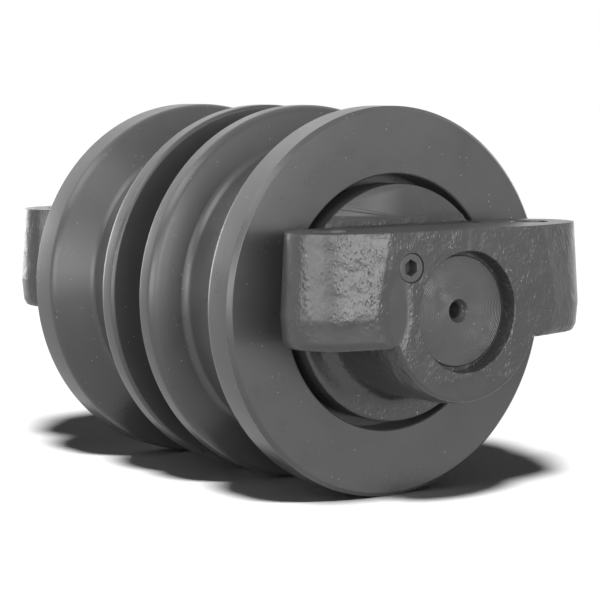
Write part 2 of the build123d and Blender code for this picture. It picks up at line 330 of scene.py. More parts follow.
paint = {
    "dark": 0.048,
    "light": 0.06,
    "clouds": 16,            # slow change of tone, per metre
    "cloudDetail": 5,
    "gloss": (0.27, 0.35),   # roughness
    "glossClouds": 64,
    "specular": 0.5,
    "dust": 0.32,            # grey of the specks
    "dustPerMetre": 240,
    "dustSize": (0.05, 0.11),
    "dustPatches": 80,       # patches where specks lie, per metre, and how sharp their edges are
    "dustEdge": (0.5, 0.6),
    "peel": 1100,            # orange peel of the paint, per metre
    "peelDetail": 2,
    "peelDepth": 0.02 * mm,
    "relief": 0.5,           # strength of a bump, where a finish gives none of its own
}


# satin grey paint with a little dust in it; returns what a finish adds its heights to
def paintBase(name, tone=1.0, gloss=1.0):
    material, tree, shader, place = newFinish(name)
    shader.inputs["Specular IOR Level"].default_value = paint["specular"]
    clouds = grain(tree, place, paint["clouds"], paint["cloudDetail"])
    colour = shaded(tree, clouds, paint["dark"] * tone, paint["light"] * tone)
    specks = cells(tree, place, paint["dustPerMetre"])
    patches = shaded(tree, grain(tree, place, paint["dustPatches"]), 0.0, 1.0, *paint["dustEdge"])
    dust = combined(tree, "MULTIPLY", shaded(tree, specks, 1.0, 0.0, *paint["dustSize"]), patches)
    tree.links.new(dusted(tree, dust, colour, paint["dust"]), shader.inputs["Base Color"])
    low, high = paint["gloss"]
    rough = shaded(tree, grain(tree, place, paint["glossClouds"]), low * gloss, high * gloss)
    tree.links.new(rough, shader.inputs["Roughness"])
    peel = (grain(tree, place, paint["peel"], paint["peelDetail"]), paint["relief"], paint["peelDepth"])
    return material, tree, shader, place, peel


turning = {
    "tracks": 1300,          # tool tracks per metre of radius and length
    "trackDetail": 1,
    "trackDepth": 0.05 * mm,
    "waves": 140,
    "waveDetail": 2,
    "waveDepth": 0.07 * mm,
}


# paint over a turned face: faint rings and slow waves
def turnedFinish(name, tone=1.0, depth=1.0):
    material, tree, shader, place, peel = paintBase(name, tone)
    ring = aroundShaft(tree, place)
    tracks = grain(tree, ring, turning["tracks"], turning["trackDetail"])
    waves = grain(tree, ring, turning["waves"], turning["waveDetail"])
    bumped(tree, shader, [peel, (tracks, paint["relief"], turning["trackDepth"] * depth),
                          (waves, paint["relief"], turning["waveDepth"])])
    return material


facing = {
    "pitch": 1.15 * mm,      # feed of the facing tool on the shaft's end
    "depth": 0.13 * mm,
    "relief": 0.7,
    "worn": 90,              # patches where the rings are fainter, per metre
    "wornDetail": 2,
    "wornLeast": 0.25,
    "wornEdge": (0.35, 0.6),
}
wavesPerScale = 20 / math.tau    # Blender's bands in a metre, for a texture scale of 1


# the shaft's end keeps the facing tool's rings under the paint
def facedFinish(name):
    material, tree, shader, place, peel = paintBase(name)
    wave = tree.nodes.new("ShaderNodeTexWave")
    wave.wave_type = "BANDS"
    wave.bands_direction = "X"
    wave.wave_profile = "SIN"
    wave.inputs["Scale"].default_value = 1 / (wavesPerScale * facing["pitch"])
    wave.inputs["Distortion"].default_value = 0.0
    ring = aroundShaft(tree, place)
    tree.links.new(ring, wave.inputs["Vector"])
    patches = grain(tree, place, facing["worn"], facing["wornDetail"])
    worn = shaded(tree, patches, facing["wornLeast"], 1.0, *facing["wornEdge"])
    rings = combined(tree, "MULTIPLY", wave.outputs["Fac"], worn)
    tracks = grain(tree, ring, turning["tracks"], turning["trackDetail"])
    bumped(tree, shader, [peel, (rings, facing["relief"], facing["depth"]),
                          (tracks, paint["relief"], turning["trackDepth"])])
    return material


casting = {
    "tone": 0.7,             # against the paint elsewhere
    "gloss": 1.02,
    "pits": (420, 760),      # two sizes of pit, per metre
    "pitReach": 0.42,
    "pitDepth": (0.48 * mm, 0.28 * mm),
    "pitRelief": 0.6,
    "crowds": 85,            # patches where the pits stand closer, per metre
    "crowdDetail": 2,
    "crowdLeast": 0.15,
    "crowdEdge": (0.38, 0.62),
    "sand": 1500,
    "sandDetail": 2,
    "sandDepth": 0.07 * mm,
    "lean": (1.0, 1.0, 0.62),
    "leanTurn": 34,          # degrees the pits lean to the right
}


# paint over a raw casting; the mesh's calm attribute tells where it was ground smooth
def castFinish(name, tone=1.0, rough=1.0):
    material, tree, shader, place, peel = paintBase(name, tone * casting["tone"], casting["gloss"])
    calm = tree.nodes.new("ShaderNodeAttribute")
    calm.attribute_name = "calm"
    raw = tree.nodes.new("ShaderNodeMath")
    raw.operation = "SUBTRACT"
    raw.inputs[0].default_value = 1.0
    tree.links.new(calm.outputs["Fac"], raw.inputs[1])
    leaning = tree.nodes.new("ShaderNodeMapping")
    leaning.inputs["Rotation"].default_value = (0, math.radians(casting["leanTurn"]), 0)
    leaning.inputs["Scale"].default_value = casting["lean"]
    tree.links.new(place, leaning.inputs["Vector"])
    warped = leaning.outputs["Vector"]
    patches = grain(tree, place, casting["crowds"], casting["crowdDetail"])
    crowd = shaded(tree, patches, casting["crowdLeast"], 1.0, *casting["crowdEdge"])
    crowd = combined(tree, "MULTIPLY", crowd, raw.outputs["Value"])
    heights = [peel]
    for perMetre, depth in zip(casting["pits"], casting["pitDepth"]):
        hollow = shaded(tree, cells(tree, warped, perMetre), 0.0, 1.0, 0.0, casting["pitReach"])
        pits = combined(tree, "MULTIPLY", hollow, crowd)
        heights.append((pits, casting["pitRelief"] * rough, depth))
    sand = grain(tree, place, casting["sand"], casting["sandDetail"])
    sand = combined(tree, "MULTIPLY", sand, raw.outputs["Value"])
    heights.append((sand, paint["relief"] * rough, casting["sandDepth"]))
    bumped(tree, shader, heights)
    return material


milling = {
    "stretch": (1.0, 0.04, 0.04),
    "tracks": 1100,
    "trackDetail": 2,
    "trackDepth": 0.05 * mm,
}


# paint over a milled face: fine straight tracks
def milledFinish(name):
    material, tree, shader, place, peel = paintBase(name)
    along = stretched(tree, place, milling["stretch"])
    tracks = grain(tree, along, milling["tracks"], milling["trackDetail"])
    bumped(tree, shader, [peel, (tracks, paint["relief"], milling["trackDepth"])])
    return material


bareSurface = {
    "worn": 0.8,             # tone of the darker patches
    "patch": 20,             # grains across a patch
    "glossPatch": 5,
    "glossSwing": (0.85, 1.15),
    "detail": 2,
    "relief": 0.3,
}


# lapped, ground or moulded surface with a fine grain, that many to a metre
def bareFinish(name, colour, gloss, metallic, perMetre, depth):
    s = bareSurface
    material, tree, shader, place = newFinish(name, metallic)
    worn = tuple(channel * s["worn"] for channel in colour)
    tone = shaded(tree, grain(tree, place, perMetre / s["patch"]), worn, colour)
    tree.links.new(tone, shader.inputs["Base Color"])
    low, high = s["glossSwing"]
    patches = grain(tree, place, perMetre / s["glossPatch"], s["detail"])
    tree.links.new(shaded(tree, patches, gloss * low, gloss * high), shader.inputs["Roughness"])
    bumped(tree, shader, [(grain(tree, place, perMetre, s["detail"]), s["relief"], depth)])
    return material


turnedPaint = turnedFinish("turnedPaint")
# the same paint at a darker tone for the walls of the holes and the plug's hex socket: painted shade in
# these recesses; its deeper rings are bumps
borePaint = turnedFinish("borePaint", tone=0.6, depth=2.0)
facedPaint = facedFinish("facedPaint")
castPaint = castFinish("castPaint")
# the mouth's wall: rougher as cast, and a darker tone that is painted shade in the recess
sandPaint = castFinish("sandPaint", tone=0.7, rough=1.6)
milledPaint = milledFinish("milledPaint")
lappedIron = bareFinish("lappedIron", colour=(0.34, 0.34, 0.35), gloss=0.22, metallic=1.0,
                        perMetre=1500, depth=0.03 * mm)
groundSteel = bareFinish("groundSteel", colour=(0.42, 0.42, 0.43), gloss=0.25, metallic=1.0,
                         perMetre=1200, depth=0.03 * mm)
rubber = bareFinish("rubber", colour=(0.025, 0.025, 0.026), gloss=0.6, metallic=0.0,
                    perMetre=900, depth=0.1 * mm)
bronze = bareFinish("bronze", colour=(0.56, 0.37, 0.15), gloss=0.3, metallic=1.0,
                    perMetre=1100, depth=0.04 * mm)
stageNote("finishes ready")


# Mesh helpers

def meshOf(name, points, faces):
    mesh = bpy.data.meshes.new(name)
    mesh.from_pydata([tuple(point) for point in points], [], faces)
    return mesh


# edges where two finishes meet stay crisp
def crispBorders(mesh):
    finishes = {}
    for face in mesh.polygons:
        for key in face.edge_keys:
            finishes.setdefault(key, set()).add(face.material_index)
    for edge in mesh.edges:
        if len(finishes.get(edge.key, ())) > 1:
            edge.use_edge_sharp = True


# a mesh that was cut has its materials already; sharp is the angle from which an edge is crisp
def finishPiece(name, mesh, body, material, sharp):
    mesh.validate()
    mesh.shade_smooth()
    mesh.set_sharp_from_angle(angle=math.radians(sharp))
    crispBorders(mesh)
    piece = bpy.data.objects.new(name, mesh)
    scene.collection.objects.link(piece)
    if not mesh.materials:
        mesh.materials.append(material)
    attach(piece, body)
    return piece


# points of a closed outline whose corners are (radius, depth) or (radius, depth, rounding)
def roundedLine(corners, arcSteps=8):
    points = []
    for index, corner in enumerate(corners):
        here = np.array(corner[:2], float)
        if len(corner) < 3:
            points.append(here)
            continue
        before = np.array(corners[index - 1][:2], float) - here
        after = np.array(corners[(index + 1) % len(corners)][:2], float) - here
        before /= np.linalg.norm(before)
        after /= np.linalg.norm(after)
        half = math.acos(np.clip(before @ after, -1, 1)) / 2
        inward = (before + after) / np.linalg.norm(before + after)
        middle = here + inward * corner[2] / math.sin(half)
        start = here + before * corner[2] / math.tan(half) - middle
        end = here + after * corner[2] / math.tan(half) - middle
        sweep = math.pi - 2 * half
        for step in range(arcSteps + 1):
            share = step / arcSteps
            points.append(middle + (start * math.sin((1 - share) * sweep)
                                    + end * math.sin(share * sweep)) / math.sin(sweep))
    return points


# a closed line of (radius, depth) turned about the shaft's axis; radius 0 closes on the axis
def turnedMesh(line, segments):
    line = np.array(line, float)
    angles = np.arange(segments) / segments * math.tau
    points = []
    rings = []
    for radius, depth in line:
        if radius == 0:
            rings.append([len(points)] * segments)
            points.append((0, -depth, 0))
            continue
        rings.append(list(range(len(points), len(points) + segments)))
        points += [(radius * math.cos(a), -depth, radius * math.sin(a)) for a in angles]
    faces = []
    for row, below in enumerate(rings):
        above = rings[(row + 1) % len(rings)]
        if below[0] == below[1] and above[0] == above[1]:
            continue
        for step in range(segments):
            onward = (step + 1) % segments
            face = [below[step], below[onward], above[onward], above[step]]
            faces.append(list(dict.fromkeys(face)))
    return np.array(points), faces


# the same piece at the other end of the shaft
def halfTurned(mesh):
    mesh.transform(Matrix.Rotation(math.pi, 4, "Z"))
    return mesh


# applies one modifier to a mesh and gives the new mesh
def modified(mesh, kind, **values):
    carrier = bpy.data.objects.new("carrier", mesh)
    scene.collection.objects.link(carrier)
    modifier = carrier.modifiers.new(kind, kind)
    for key, value in values.items():
        setattr(modifier, key, value)
    bpy.context.view_layer.update()
    seen = carrier.evaluated_get(bpy.context.evaluated_depsgraph_get())
    made = bpy.data.meshes.new_from_object(seen)
    bpy.data.objects.remove(carrier)
    return made


def outwardNormals(mesh):
    work = bmesh.new()
    work.from_mesh(mesh)
    bmesh.ops.recalc_face_normals(work, faces=work.faces)
    work.to_mesh(mesh)
    work.free()
    return mesh


# cuts closed meshes out of a closed mesh; each cut face takes its cutter's material
def cutAway(mesh, cutters):
    for cutter in cutters:
        tool = bpy.data.objects.new("cutter", outwardNormals(cutter))
        scene.collection.objects.link(tool)
        mesh = modified(mesh, "BOOLEAN", operation="DIFFERENCE", solver="MANIFOLD", object=tool)
        bpy.data.objects.remove(tool)
    return mesh


# the triangles of one flat face, at a level of y, become a single face
def mergedAt(mesh, level, slack):
    work = bmesh.new()
    work.from_mesh(mesh)
    flat = {face for face in work.faces if all(abs(vertex.co.y - level) < slack for vertex in face.verts)}
    inner = [edge for edge in work.edges if len(edge.link_faces) == 2 and flat.issuperset(edge.link_faces)]
    bmesh.ops.dissolve_edges(work, edges=inner, use_verts=False)
    work.to_mesh(mesh)
    work.free()
    return mesh


# drops the crumbs that a cut leaves, and keeps the largest connected piece
def largestPiece(mesh):
    work = bmesh.new()
    work.from_mesh(mesh)
    left = set(work.verts)
    best = set()
    while left:
        island = set()
        edge = [left.pop()]
        while edge:
            vertex = edge.pop()
            island.add(vertex)
            for link in vertex.link_edges:
                other = link.other_vert(vertex)
                if other in left:
                    left.discard(other)
                    edge.append(other)
        if len(island) > len(best):
            best = island
    crumbs = [vertex for vertex in work.verts if vertex not in best]
    bmesh.ops.delete(work, geom=crumbs, context="VERTS")
    work.to_mesh(mesh)
    work.free()
    return mesh


def boxMesh(name, low, high):
    points = [(x, y, z) for x in (low[0], high[0]) for y in (low[1], high[1]) for z in (low[2], high[2])]
    faces = [(0, 1, 3, 2), (4, 6, 7, 5), (0, 4, 5, 1), (2, 3, 7, 6), (0, 2, 6, 4), (1, 5, 7, 3)]
    return outwardNormals(meshOf(name, points, faces))


# a closed solid through rings of points, all with the same count
def loftMesh(name, rings):
    count = len(rings[0])
    points = [point for ring in rings for point in ring]
    faces = [list(range(count)), [(len(rings) - 1) * count + step for step in range(count)]]
    for row in range(len(rings) - 1):
        for step in range(count):
            onward = (step + 1) % count
            faces.append([row * count + step, row * count + onward,
                          (row + 1) * count + onward, (row + 1) * count + step])
    return outwardNormals(meshOf(name, points, faces))


def joined(name, meshes):
    work = bmesh.new()
    for mesh in meshes:
        work.from_mesh(mesh)
    made = bpy.data.meshes.new(name)
    work.to_mesh(made)
    work.free()
    return made


# Roller shell

shellLow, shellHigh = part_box("near_shell_half")
shellSet = {
    "flangeRadius": shellHigh.x,
    "end": -shellLow.y,
    "tread": 95.0 * mm,
    "grooveFloor": 86.0 * mm,
    "grooveEdge": 15.7 * mm,
    "innerRim": 30.0 * mm,
    "outerRim": 92.5 * mm,
    "innerSlope": 6.5 * mm,
    "outerSlope": 15.5 * mm,
    "treadRoot": 5.5 * mm,
    "faceChamfer": 2.5 * mm,
    "outerRounding": 7.0 * mm,
    "innerRounding": 6.0 * mm,
    "grooveSideRounding": 2.5 * mm,
    "grooveRoot": 4.0 * mm,
    "weldHalf": 6.0 * mm,
    "weldRoot": 74.0 * mm,
    "weldCrown": 1.5 * mm,
    "weldRipple": 0.35 * mm,
    "weldRipples": 180,
    "rippleSteps": 6,
    "weldSweep": 9.0,        # how far each ripple trails back at its ends, radians
    "weldRows": 10,
    "chamber": 62.0 * mm,
    "chamberCorner": 5.0 * mm,
    "chamberSlope": 8.0 * mm,
    "counterbore": 76.6 * mm,
    "counterboreChamfer": 0.8 * mm,
    "counterboreFloor": 94.0 * mm,
    "seatMouth": 64.5 * mm,
    "seatFloor": 62.5 * mm,
    "seatBottom": 82.0 * mm,
    "bushFlange": 54.0 * mm,
    "bushShoulder": 76.0 * mm,
    "bush": 43.5 * mm,
    "chamberEdge": 23.0 * mm,
    "edge": 0.7 * mm,        # the paint rounds every turned edge this much
    "segments": 320,
    "sharp": 24,             # degrees
    "weldSharp": 50,
}


def shellOutline(s):
    edge = s["edge"]
    return roundedLine([
        (s["chamber"], 0),
        (s["weldRoot"], 0),
        (s["grooveFloor"], s["weldHalf"]),
        (s["grooveFloor"], s["grooveEdge"], s["grooveRoot"]),
        (s["flangeRadius"], s["grooveEdge"], s["grooveSideRounding"]),
        (s["flangeRadius"], s["innerRim"], s["innerRounding"]),
        (s["tread"], s["innerRim"] + s["innerSlope"], s["treadRoot"]),
        (s["tread"], s["outerRim"] - s["outerSlope"], s["treadRoot"]),
        (s["flangeRadius"], s["outerRim"], s["outerRounding"]),
        (s["flangeRadius"], s["end"] - s["faceChamfer"], edge),
        (s["flangeRadius"] - s["faceChamfer"], s["end"], edge),
        (s["counterbore"] + s["counterboreChamfer"], s["end"], edge),
        (s["counterbore"], s["end"] - s["counterboreChamfer"], edge),
        (s["counterbore"], s["counterboreFloor"]),
        (s["seatMouth"], s["counterboreFloor"]),
        (s["seatFloor"], s["seatBottom"]),
        (s["bushFlange"], s["seatBottom"]),
        (s["bushFlange"], s["bushShoulder"]),
        (s["bush"], s["bushShoulder"]),
        (s["bush"], s["chamberEdge"]),
        (s["chamber"], s["chamberEdge"] - s["chamberSlope"], s["chamberCorner"]),
    ])


def shellMesh(s):
    return outwardNormals(meshOf("shell", *turnedMesh(shellOutline(s), s["segments"])))


def weldMesh(s):
    half = s["weldHalf"]
    line = [(s["weldRoot"], 0.0)]
    for step in range(s["weldRows"] + 1):
        across = 1 - 2 * step / s["weldRows"]
        line.append((s["grooveFloor"] + s["weldCrown"] * (1 - across * across), half * across))
    points, faces = turnedMesh(line, s["weldRipples"] * s["rippleSteps"])
    for point in points:
        across = 1 - abs(point[1]) / half
        radius = math.hypot(point[0], point[2])
        if radius < s["grooveFloor"] - s["edge"] or across <= 0:
            continue
        turn = math.atan2(point[2], point[0]) * s["weldRipples"] + s["weldSweep"] * (1 - across) ** 2
        lift = s["weldRipple"] * across * (abs(math.sin(turn / 2)) - 1)
        point[0] *= 1 + lift / radius
        point[2] *= 1 + lift / radius
    return outwardNormals(meshOf("weld", points, faces))


nearShell = finishPiece("nearShell", shellMesh(shellSet), turningBody,
                        turnedPaint, shellSet["sharp"])
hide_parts("near_shell_half")
farShell = finishPiece("farShell", halfTurned(shellMesh(shellSet)), turningBody,
                       turnedPaint, shellSet["sharp"])
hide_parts("far_shell_half")
weld = finishPiece("weldBead", weldMesh(shellSet), turningBody, turnedPaint, shellSet["weldSharp"])
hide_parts("weld_seam")
stageNote("shell turned and welded")


# Collar castings

collarLow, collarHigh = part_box("near_collar")
collarSet = {
    "face": -collarLow.y,
    "seat": 47.5 * mm,
    "discRadius": 71.2 * mm,
    "discBack": 103.0 * mm,
    "discFace": 121.0 * mm,
    "discEdge": 1.5 * mm,
    "discMilled": 0.6 * mm,        # how far the tool that cut the seat bit into the disc
    "discSegments": 200,
    "bossRadius": 54.0 * mm,
    "bossFoot": 8.0 * mm,
    "bossLap": 2.0 * mm,
    "noseLength": 15.0 * mm,
    "noseDrop": 1.5 * mm,
    "edgeLength": 2.0 * mm,
    "edgeDrop": 1.0 * mm,
    "bossSegments": 160,
    "boltX": 73.0 * mm,
    "boltDepth": 155.0 * mm,
    "boltHole": 11.0 * mm,
    "lug": 26.6 * mm,              # at the seat
    "draft": 3.0,                  # degrees, above the shaft's level
    "underDraft": 5.0,             # and below it
    "barDrop": 18.0 * mm,
    "barEdge": 5.0 * mm,
    "barEdgeSteps": 8,
    "lugSteps": 28,
    "frontHalf": 56.0 * mm,
    "saddleHalf": 50.0 * mm,
    "saddleDrop": 5.0 * mm,
    "stripHalf": 48.0 * mm,
    "stripLength": 24.0 * mm,
    "stripDrop": 0.8 * mm,
    "mouth": 34.8 * mm,
    "mouthFloor": 176.0 * mm,
    "mouthChamfer": 0.6 * mm,
    "mouthRows": 14,
    "mouthDent": 0.45 * mm,
    "mouthLumps": (1.6 * mm, 5.0 * mm),
    "flatSlack": 0.002 * mm,
    "bore": 32.52 * mm,
    "boreSegments": 240,
    "hub": 44.0 * mm,
    "hubEnd": 81.35 * mm,
    "sealSeatFloor": 62.5 * mm,
    "sealSeatMouth": 64.5 * mm,
    "sealSeatBottom": 115.0 * mm,
    "port": (-40.54 * mm, 27.34 * mm),
    "portHole": 8.6 * mm,
    "portChamfer": 0.2 * mm,
    "portDepth": 14.5 * mm,
    "lockPin": (31.0 * mm, 150.0 * mm),
    "lockPinHole": 6.02 * mm,
    "lockPinTop": 28.0 * mm,
    "holeChamfer": 0.6 * mm,
    "holeSegments": 96,
    "reach": 120.0 * mm,           # past everything, for cutters
    "spare": 4.0 * mm,             # stock on faces that are cut afterwards
    "voxel": 0.85 * mm,
    "softening": (0.5, 3),         # share and rounds, which round the corners between the bodies
    "sharp": 45,                   # degrees
}


# outline of the bar in plan at a height, moved in by its draft and the rounding below
def barOutline(s, height, rounding):
    slope = math.tan(math.radians(s["draft"]))
    lean = slope if height > 0 else math.tan(math.radians(s["underDraft"]))
    grown = s["lug"] + s["seat"] * slope
    inset = abs(height) * lean + rounding
    front = s["face"] + s["seat"] * slope
    toCorner = Vector((s["frontHalf"] - s["boltX"], front - s["boltDepth"]))
    facingAngle = math.atan2(toCorner.y, toCorner.x) - math.acos(grown / toCorner.length)
    radius = grown - inset
    rise = front - inset - s["boltDepth"]
    cornerX = s["boltX"] + (radius - math.sin(facingAngle) * rise) / math.cos(facingAngle)
    half = []
    for step in range(s["lugSteps"] + 1):
        angle = -math.pi / 2 + (facingAngle + math.pi / 2) * step / s["lugSteps"]
        half.append((s["boltX"] + radius * math.cos(angle), s["boltDepth"] + radius * math.sin(angle)))
    half.append((cornerX, front - inset))
    outline = half + [(-x, depth) for x, depth in reversed(half)]
    return [(x, -depth, height) for x, depth in outline]


def rawBar(s):
    rings = []
    for step in range(s["barEdgeSteps"] + 1):
        angle = math.pi / 2 * step / s["barEdgeSteps"]
        height = -s["barDrop"] + s["barEdge"] * (1 - math.cos(angle))
        rings.append(barOutline(s, height, s["barEdge"] * (1 - math.sin(angle))))
    rings.append(barOutline(s, 0, 0))
    rings.append(barOutline(s, s["seat"] + s["spare"], 0))
    mesh = loftMesh("bar", rings)
    work = bmesh.new()
    work.from_mesh(mesh)
    cut = bmesh.ops.bisect_plane(work, geom=work.verts[:] + work.edges[:] + work.faces[:],
                                 plane_co=(0, -s["face"], 0), plane_no=(0, -1, 0), clear_outer=True)
    rim = [item for item in cut["geom_cut"] if isinstance(item, bmesh.types.BMEdge)]
    bmesh.ops.holes_fill(work, edges=rim)
    work.to_mesh(mesh)
    work.free()
    return outwardNormals(mesh)


def rawBoss(s):
    outline = roundedLine([
        (0, s["discFace"] - s["bossLap"]),
        (s["discRadius"] - s["discEdge"], s["discFace"] - s["bossLap"]),
        (s["discRadius"] - s["discEdge"], s["discFace"]),
        (s["bossRadius"], s["discFace"], s["bossFoot"]),
        (s["bossRadius"], s["face"] - s["noseLength"]),
        (s["bossRadius"] - s["noseDrop"], s["face"] - s["edgeLength"]),
        (s["bossRadius"] - s["noseDrop"] - s["edgeDrop"], s["face"]),
        (0, s["face"]),
    ])
    return outwardNormals(meshOf("boss", *turnedMesh(outline, s["bossSegments"])))


def rawDisc(s):
    outline = roundedLine([
        (0, s["hubEnd"] - s["spare"]),
        (s["hub"] + s["spare"], s["hubEnd"] - s["spare"]),
        (s["hub"] + s["spare"], s["discBack"] - s["spare"]),
        (s["discRadius"], s["discBack"] - s["spare"]),
        (s["discRadius"], s["discFace"], s["discEdge"]),
        (0, s["discFace"]),
    ])
    return outwardNormals(meshOf("disc", *turnedMesh(outline, s["discSegments"])))


# everything on the shaft's axis that is bored or turned out of the casting
def axialCutter(s):
    behind = s["hubEnd"] - 3 * s["spare"]      # past the stock behind the hub
    ahead = s["face"] + s["spare"]
    outline = [
        (0, ahead),
        (s["mouth"] + s["mouthChamfer"] + s["spare"], ahead),
        (s["mouth"], s["face"] - s["mouthChamfer"]),
        (s["mouth"], s["mouthFloor"]),
        (s["bore"], s["mouthFloor"]),
        (s["bore"], s["hubEnd"]),
        (s["hub"], s["hubEnd"]),
        (s["hub"], s["sealSeatBottom"]),
        (s["sealSeatFloor"], s["sealSeatBottom"]),
        (s["sealSeatMouth"], s["discBack"]),
        (s["reach"], s["discBack"]),
        (s["reach"], behind),
        (0, behind),
    ]
    mesh = meshOf("axial", *turnedMesh(outline, s["boreSegments"]))
    mesh.materials.append(turnedPaint)
    return mesh


# the recess round the shaft's end, whose wall is left rough as cast, and its paint darker as painted shade
# in the recess
def mouthCutter(s, seed):
    shift = Vector((seed, seed, seed))
    low = s["mouthFloor"]
    high = s["face"] - s["mouthChamfer"]
    line = [(0, low)]
    line += [(s["mouth"], low + (high - low) * row / s["mouthRows"]) for row in range(s["mouthRows"] + 1)]
    line.append((s["mouth"] + s["mouthChamfer"] + s["spare"], s["face"] + s["spare"]))
    line.append((0, s["face"] + s["spare"]))
    points, faces = turnedMesh(line, s["boreSegments"])
    for point in points:
        radius = math.hypot(point[0], point[2])
        if abs(radius - s["mouth"]) > s["mouthDent"] / 2:
            continue
        lumps = sum(noise.noise(Vector(point) / size + shift) for size in s["mouthLumps"])
        point[0] *= 1 + s["mouthDent"] * lumps / radius
        point[2] *= 1 + s["mouthDent"] * lumps / radius
    mesh = meshOf("mouth", points, faces)
    mesh.materials.append(sandPaint)
    return mesh


def holeCutter(s, place, low, high, radius, chamfer, upright, material):
    line = [(0, low), (radius + chamfer, low), (radius, low + chamfer),
            (radius, high - chamfer), (radius + chamfer, high), (0, high)]
    points, faces = turnedMesh(line, s["holeSegments"])
    if upright:
        points = np.stack([points[:, 0] + place[0], points[:, 2] - place[1], -points[:, 1]], -1)
    else:
        points = points + np.array([place[0], 0, place[1]])
    mesh = meshOf("hole", points, faces)
    mesh.materials.append(material)
    return mesh


def smoothStep(low, high, value):
    share = min(1.0, max(0.0, (value - low) / (high - low)))
    return share * share * (3 - 2 * share)


def bell(middle, half, value):
    return math.exp(-((value - middle) / half) ** 2)


# the raw skin of a casting, with the places where it was ground; places are (x, z) of the near
# collar's front, and dish tells how deep the grinder went
skinSet = {
    "swell": 0.18 * mm,          # slow waves of the mould
    "swellSize": 12 * mm,
    "dents": ((0.09 * mm, 1.7 * mm), (0.09 * mm, 1.1 * mm)),
    "dentStretch": 0.6,
    "dentLean": Vector((0.55, 0, 0.83)),
    "crowdSize": 13 * mm,
    "crowdEdge": (-0.35, 0.3),
    "crowdLeast": 0.3,
    "dentEdge": 0.5,
    "swellLeast": 0.35,          # on ground places
    "seedShift": Vector((0.37, 0.53, 0.71)),
    "calm": 0.05,                # how smooth the front is, from 0 to 1
    "sideCalm": 0.3,             # sides and underside
    "seatCalm": 0.95,
    "frontFrom": -0.3,           # a normal's y, from which a face counts as a side
    "calmer": ((-62 * mm, -54 * mm, 0.1), (40 * mm, 75 * mm, 0.2)),     # steps in x, from the crease on
    "flash": {"height": -17.0 * mm, "half": 0.7 * mm, "lift": 0.45 * mm},
    "flashShadow": {"height": -15.0 * mm, "half": 0.9 * mm, "lift": -0.3 * mm},
    "flashSize": 4 * mm,
    "flashUneven": (0.55, 0.9),
    "burr": {"x": -98.5 * mm, "half": 1.2 * mm, "lift": 0.35 * mm},
    "burrSize": 2.2 * mm,
    "burrUneven": 0.2,
    "groundEdge": (0.6, 1.1),    # a ground place fades out between these shares of its half size
    "ground": (
        {"middle": (-50 * mm, 4 * mm), "half": (10 * mm, 26 * mm), "calm": 0.97, "dish": 0.55 * mm},
        {"middle": (-80 * mm, -11 * mm), "half": (24 * mm, 9 * mm), "calm": 0.75, "dish": 0.05 * mm},
        {"middle": (-107 * mm, 15 * mm), "half": (19 * mm, 80 * mm), "calm": 0.75, "dish": 0.0},
        {"middle": (109 * mm, 15 * mm), "half": (28 * mm, 80 * mm), "calm": 0.9, "dish": 0.0},
        {"middle": (4 * mm, -47 * mm), "half": (40 * mm, 10 * mm), "calm": 0.75, "dish": 0.05 * mm},
    ),
}


# share of one ground place at a point of the front, 1 in its middle
def patchShare(patch, edge, x, z):
    across = (x - patch["middle"][0]) / patch["half"][0]
    along = (z - patch["middle"][1]) / patch["half"][1]
    return 1 - smoothStep(*edge, math.hypot(across, along))


# how smooth the skin is at a place, and how deep it was ground there
def calmAt(s, skin, here, facing):
    if here.z > s["seat"]:
        return skin["seatCalm"], 0.0
    if facing.y > skin["frontFrom"] or -here.y < s["boltDepth"] - s["lug"] / 2:
        return skin["sideCalm"], 0.0
    calm = skin["calm"]
    for start, end, share in skin["calmer"]:
        calm += share * smoothStep(start, end, here.x)
    dish = 0.0
    for patch in skin["ground"]:
        share = patchShare(patch, skin["groundEdge"], here.x, here.z)
        calm = max(calm, patch["calm"] * share)
        dish += patch["dish"] * share
    return calm, dish


# moves the skin of a casting along its normals
def roughened(mesh, s, skin, seed):
    shift = seed * skin["seedShift"]
    lean = (1 - skin["dentStretch"]) / 2
    least = skin["crowdLeast"]
    flashBase, flashSwing = skin["flashUneven"]
    moved = []
    for vertex in mesh.vertices:
        here = vertex.co
        facing = vertex.normal
        calm, depth = calmAt(s, skin, here, facing)
        raw = 1 - calm
        skewed = here - skin["dentLean"] * here.dot(skin["dentLean"]) * lean
        crowded = smoothStep(*skin["crowdEdge"], noise.noise(here / skin["crowdSize"] + shift))
        crowd = least + (1 - least) * crowded
        for deep, size in skin["dents"]:
            hollow = smoothStep(0.0, skin["dentEdge"], noise.noise(skewed / size + shift))
            depth += raw * crowd * deep * hollow
        swell = 0.5 + 0.5 * noise.noise(here / skin["swellSize"] - shift)
        depth += skin["swell"] * swell * (skin["swellLeast"] + (1 - skin["swellLeast"]) * raw)
        if here.z < 0 and math.hypot(here.x, here.z) > s["bossRadius"] + s["discEdge"]:
            uneven = flashBase + flashSwing * noise.noise(here / skin["flashSize"] + shift)
            for line in (skin["flash"], skin["flashShadow"]):
                depth -= line["lift"] * bell(line["height"], line["half"], here.z) * uneven
        burr = skin["burr"]
        if facing.x < 0 and facing.y < 0 and here.z > -s["barDrop"] / 2:
            uneven = max(0.0, noise.noise(here / skin["burrSize"] + shift) + skin["burrUneven"])
            depth -= burr["lift"] * bell(burr["x"], burr["half"], here.x) * uneven
        moved.append(here - facing * depth)
    for vertex, point in zip(mesh.vertices, moved):
        vertex.co = point
    return mesh


# the strip by the disc, whose floor is left rough as cast; low and swing are shares of its drop
stripSet = {
    "across": 90,
    "along": 30,
    "roughSize": 2.4 * mm,
    "low": 0.7,
    "swing": 0.9,
}


